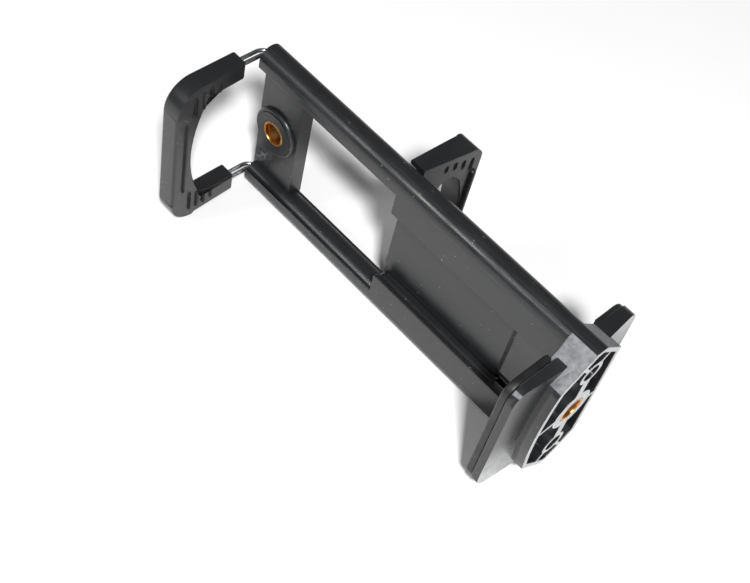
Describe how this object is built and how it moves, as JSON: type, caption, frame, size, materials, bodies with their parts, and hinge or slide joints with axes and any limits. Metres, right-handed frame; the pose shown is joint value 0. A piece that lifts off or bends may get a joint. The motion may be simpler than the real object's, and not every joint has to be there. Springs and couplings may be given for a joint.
{
  "type": "tripod phone mount adapter",
  "caption": "Double-sided spring clamp for a tripod: long open frame, fixed padded rests at the base, sliding phone jaw, wire-guided tablet jaw, brass threaded inserts.",
  "frame": {"origin": "centre of the threaded insert in the base block's end face", "axes": "+X along the rails towards the tablet jaw's end, +Y towards the tablet side, +Z across the rails"},
  "size_m": [0.1296, 0.0578, 0.055],
  "materials": {
    "plastic": "satin black, fine texture",
    "rubber": "matte",
    "brass": "turned",
    "steel": "drawn wire"
  },
  "bodies": {
    "frame": {"frame": "plastic", "base_insert": "brass", "web_insert": "brass", "tablet_rest_pad": "rubber", "phone_rest_pad": "rubber", "tablet_spring_upper": "steel", "tablet_spring_lower": "steel", "phone_spring_upper": "steel", "phone_spring_lower": "steel", "tablet_pin_upper": "steel", "tablet_pin_lower": "steel", "base_pin_upper": "steel", "base_pin_lower": "steel"},
    "tablet_jaw": {"tablet_jaw": "plastic", "wire_upper": "steel", "wire_lower": "steel"},
    "phone_jaw": {"phone_jaw": "plastic", "phone_jaw_lip": "rubber", "slider_pin_upper": "steel", "slider_pin_lower": "steel"}
  },
  "joints": [
    {"name": "tablet_slide", "type": "slide", "parent": "frame", "child": "tablet_jaw", "axis": [1, 0, 0], "range_m": [0, 0.06], "stiffness_N_per_m": 80, "springref_m": -0.01, "deforming": ["tablet_spring_upper", "tablet_spring_lower"]},
    {"name": "phone_slide", "type": "slide", "parent": "frame", "child": "phone_jaw", "axis": [1, 0, 0], "range_m": [0, 0.028], "stiffness_N_per_m": 150, "springref_m": -0.01, "deforming": ["phone_spring_upper", "phone_spring_lower"]}
  ]
}
